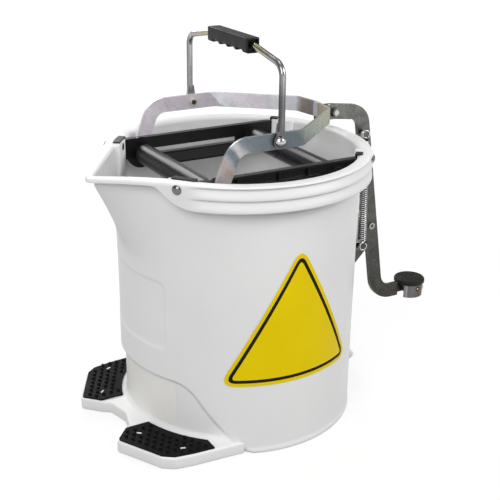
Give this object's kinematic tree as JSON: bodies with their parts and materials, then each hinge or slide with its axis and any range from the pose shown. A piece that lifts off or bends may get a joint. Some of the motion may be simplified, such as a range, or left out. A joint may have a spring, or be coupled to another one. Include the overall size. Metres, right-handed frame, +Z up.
{
  "type": "mop bucket with wringer",
  "caption": "Round plastic mop bucket with a pouring spout, a foot platform, and a foot-lever roller wringer whose yoke carries a bail handle",
  "frame": {"origin": "on the bucket's axis, on the plane it stands on", "axes": "+X to the foot lever and away from the spout, +Y to the far rail, +Z up"},
  "size_m": [0.4405, 0.29, 0.422],
  "materials": {
    "white_plastic": "satin moulded polypropylene",
    "black_plastic": "satin moulded",
    "black_rubber": "matte",
    "roller_grey": "extruded tube",
    "nylon": "plain",
    "zinc_steel": "zinc plated",
    "dull_steel": "dull zinc",
    "spring_steel": "drawn wire"
  },
  "bodies": {
    "bucket": {"bucket": "white_plastic", "near_foot_pad": "black_rubber", "far_foot_pad": "black_rubber", "near_rail": "black_plastic", "far_rail": "black_plastic", "rail_rivets": "zinc_steel", "fixed_roller_axle": "zinc_steel", "fixed_axle_nuts": "zinc_steel", "rear_bracket": "dull_steel", "bracket_rivets": "zinc_steel", "lever_pivot_pin": "dull_steel", "lower_spring_stud": "dull_steel", "return_spring": "spring_steel"},
    "lever": {"foot_lever": "dull_steel", "pedal_cup": "zinc_steel", "pedal_cap": "black_rubber", "pedal_screw": "zinc_steel", "upper_spring_stud": "dull_steel"},
    "yoke": {"yoke": "zinc_steel", "yoke_clevis": "zinc_steel", "clevis_pin": "zinc_steel", "clevis_pin_nut": "zinc_steel", "bail_bolts": "zinc_steel", "bail_nuts": "zinc_steel"},
    "carriage": {"moving_roller_axle": "zinc_steel", "guide_washers": "nylon", "axle_washers": "zinc_steel", "axle_lock_nuts": "zinc_steel"},
    "moving_roller": {"moving_roller_tube": "roller_grey", "moving_roller_plugs": "black_plastic"},
    "fixed_roller": {"fixed_roller_tube": "roller_grey", "fixed_roller_plugs": "black_plastic"},
    "bail": {"bail_handle": "zinc_steel", "handle_grip": "black_plastic"}
  },
  "joints": [
    {"name": "lever_pivot", "type": "hinge", "parent": "bucket", "child": "lever", "pos_m": [0.1832, 0, 0.1784], "axis": [0, 1, 0], "range_deg": [0, 36], "stiffness_Nm_per_rad": 2.5, "springref_deg": -34.38, "deforming": ["return_spring"]},
    {"name": "yoke_link", "type": "hinge", "parent": "lever", "child": "yoke", "pos_m": [0.1203, 0, 0.3247], "axis": [0, 1, 0], "range_deg": [-41, 0]},
    {"name": "roller_slide", "type": "slide", "parent": "bucket", "child": "carriage", "axis": [1, 0, 0], "range_m": [0, 0.102]},
    {"name": "moving_roller_spin", "type": "hinge", "parent": "carriage", "child": "moving_roller", "pos_m": [-0.0742, 0, 0.2813], "axis": [0, 1, 0], "continuous": true},
    {"name": "fixed_roller_spin", "type": "hinge", "parent": "bucket", "child": "fixed_roller", "pos_m": [0.0679, 0, 0.2813], "axis": [0, 1, 0], "continuous": true},
    {"name": "bail_swing", "type": "hinge", "parent": "yoke", "child": "bail", "pos_m": [-0.0067, 0, 0.3295], "axis": [0, 1, 0], "range_deg": [-94, 70]}
  ],
  "couplings": [
    {"joint": "yoke_link", "follows": "lever_pivot", "ratio": -1.118},
    {"joint": "roller_slide", "follows": "lever_pivot", "m_per_rad": 0.1608}
  ]
}
